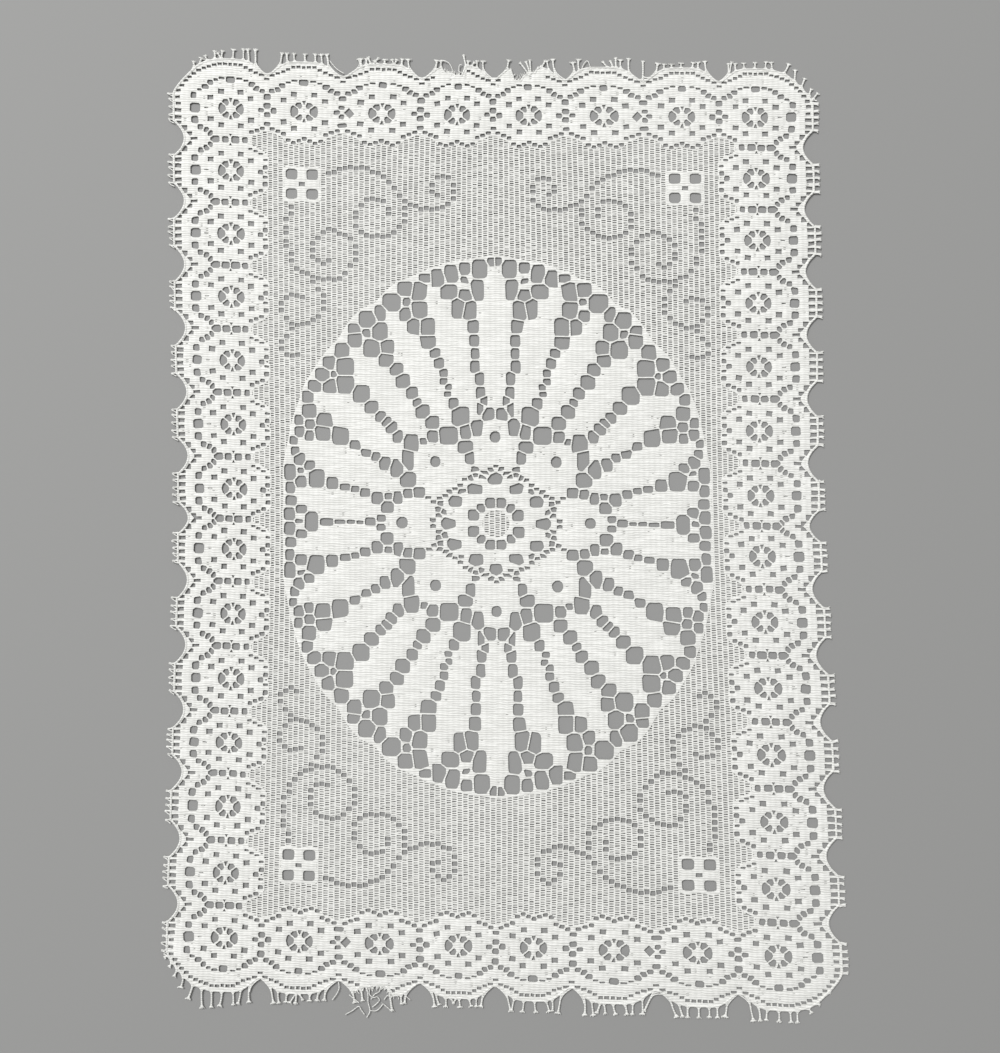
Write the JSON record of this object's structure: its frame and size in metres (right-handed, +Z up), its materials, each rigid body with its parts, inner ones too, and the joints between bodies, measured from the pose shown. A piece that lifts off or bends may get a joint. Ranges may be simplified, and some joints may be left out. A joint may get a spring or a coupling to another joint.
{
  "type": "lace doily",
  "caption": "Flat oblong lace doily with a scalloped medallion border, cut fringe ends, side picots, a petalled wheel in the middle and corner scrolls in the net.",
  "frame": {"origin": "middle of the doily, on its underside, at the middle of the wheel's closed net disc", "axes": "+X along the short side and across the warp ribs, +Y along the long side and along the ribs, +Z up from the table through the cloth"},
  "size_m": [0.3211, 0.4593, 0.001],
  "materials": {
    "lace_cotton": "matt white machine-made lace"
  },
  "bodies": {
    "root": {"lace_cloth": "lace_cotton", "top_fringe": "lace_cotton", "bottom_fringe": "lace_cotton", "left_picots": "lace_cotton", "right_picots": "lace_cotton"}
  },
  "joints": []
}
